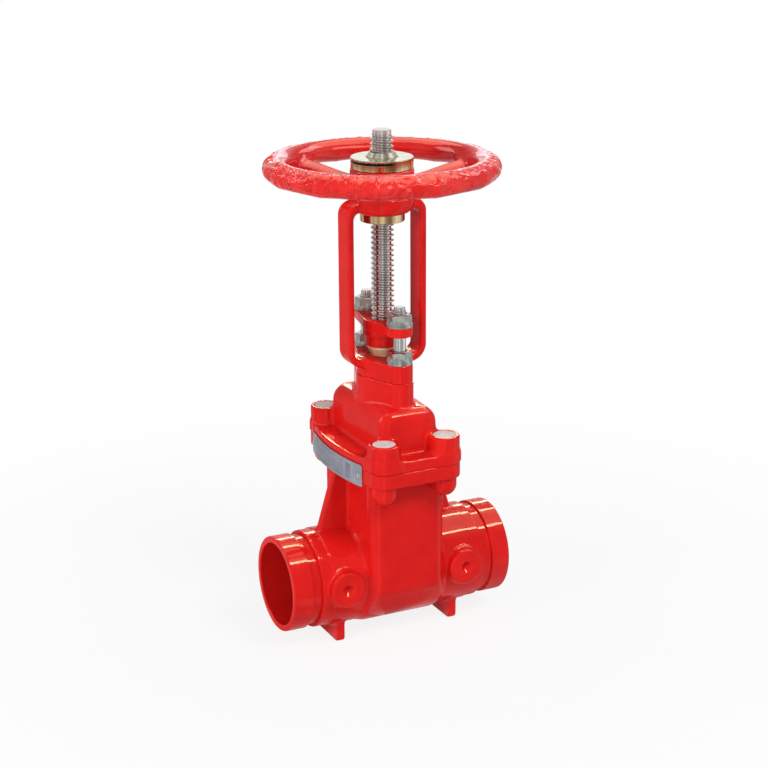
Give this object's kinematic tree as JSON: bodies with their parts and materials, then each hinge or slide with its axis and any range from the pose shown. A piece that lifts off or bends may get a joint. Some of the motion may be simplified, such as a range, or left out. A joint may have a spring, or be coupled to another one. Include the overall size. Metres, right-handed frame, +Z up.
{
  "type": "outside screw and yoke gate valve",
  "caption": "Rising stem gate valve with grooved pipe ends, an open yoke, a threaded stem driven by a turning sleeve, and a round handwheel.",
  "frame": {"origin": "on the floor under the stem's axis, midway between the pipe ends", "axes": "+X along the pipe, +Z up the stem, -Y towards the near side of the picture"},
  "size_m": [0.19, 0.182, 0.403],
  "materials": {
    "red_epoxy": "glossy fusion-bonded epoxy on cast iron",
    "stainless_steel": "turned and polished",
    "zinc_steel": "dull zinc plate",
    "brass": "turned brass",
    "black_rubber": "matt moulded rubber",
    "packing": "pressed graphite packing",
    "white_wax": "poured sealing wax",
    "plate_aluminium": "brushed sheet",
    "gate_iron": "coated ductile iron",
    "guide_plastic": "moulded polyamide"
  },
  "bodies": {
    "valve": {"valve_body": "red_epoxy", "bonnet": "red_epoxy", "bonnet_gasket": "black_rubber", "yoke": "red_epoxy", "nameplate": "plate_aluminium", "plate_rivet_near": "plate_aluminium", "plate_rivet_far": "plate_aluminium", "cover_screw_1": "zinc_steel", "cover_screw_2": "zinc_steel", "cover_screw_3": "zinc_steel", "cover_screw_4": "zinc_steel", "wax_plug_1": "white_wax", "wax_plug_2": "white_wax", "wax_plug_3": "white_wax", "wax_plug_4": "white_wax", "gland_stud_near": "zinc_steel", "gland_stud_far": "zinc_steel", "yoke_washer_near": "zinc_steel", "yoke_washer_far": "zinc_steel", "yoke_nut_near": "zinc_steel", "yoke_nut_far": "zinc_steel", "gland_washer_near": "zinc_steel", "gland_washer_far": "zinc_steel", "gland_nut_near": "zinc_steel", "gland_nut_far": "zinc_steel", "gland_flange": "red_epoxy", "gland_bush": "brass", "stem_bush": "brass", "packing_ring_1": "packing", "packing_ring_2": "packing", "packing_ring_3": "packing", "thrust_washer": "brass"},
    "wheel": {"handwheel": "red_epoxy", "drive_key": "stainless_steel", "wheel_nut": "brass", "yoke_sleeve": "brass"},
    "stem": {"stem": "stainless_steel", "gate_core": "gate_iron", "gate_rubber": "black_rubber", "guide_shoe_near": "guide_plastic", "guide_shoe_far": "guide_plastic"}
  },
  "joints": [
    {"name": "handwheel_turn", "type": "hinge", "parent": "valve", "child": "wheel", "pos_m": [0, 0, 0.3741], "axis": [0, 0, 1], "range_deg": [0, 6345]},
    {"name": "stem_rise", "type": "slide", "parent": "valve", "child": "stem", "axis": [0, 0, 1], "range_m": [0, 0.0706]}
  ],
  "couplings": [
    {"joint": "stem_rise", "follows": "handwheel_turn", "m_per_rad": 0.00063662}
  ]
}
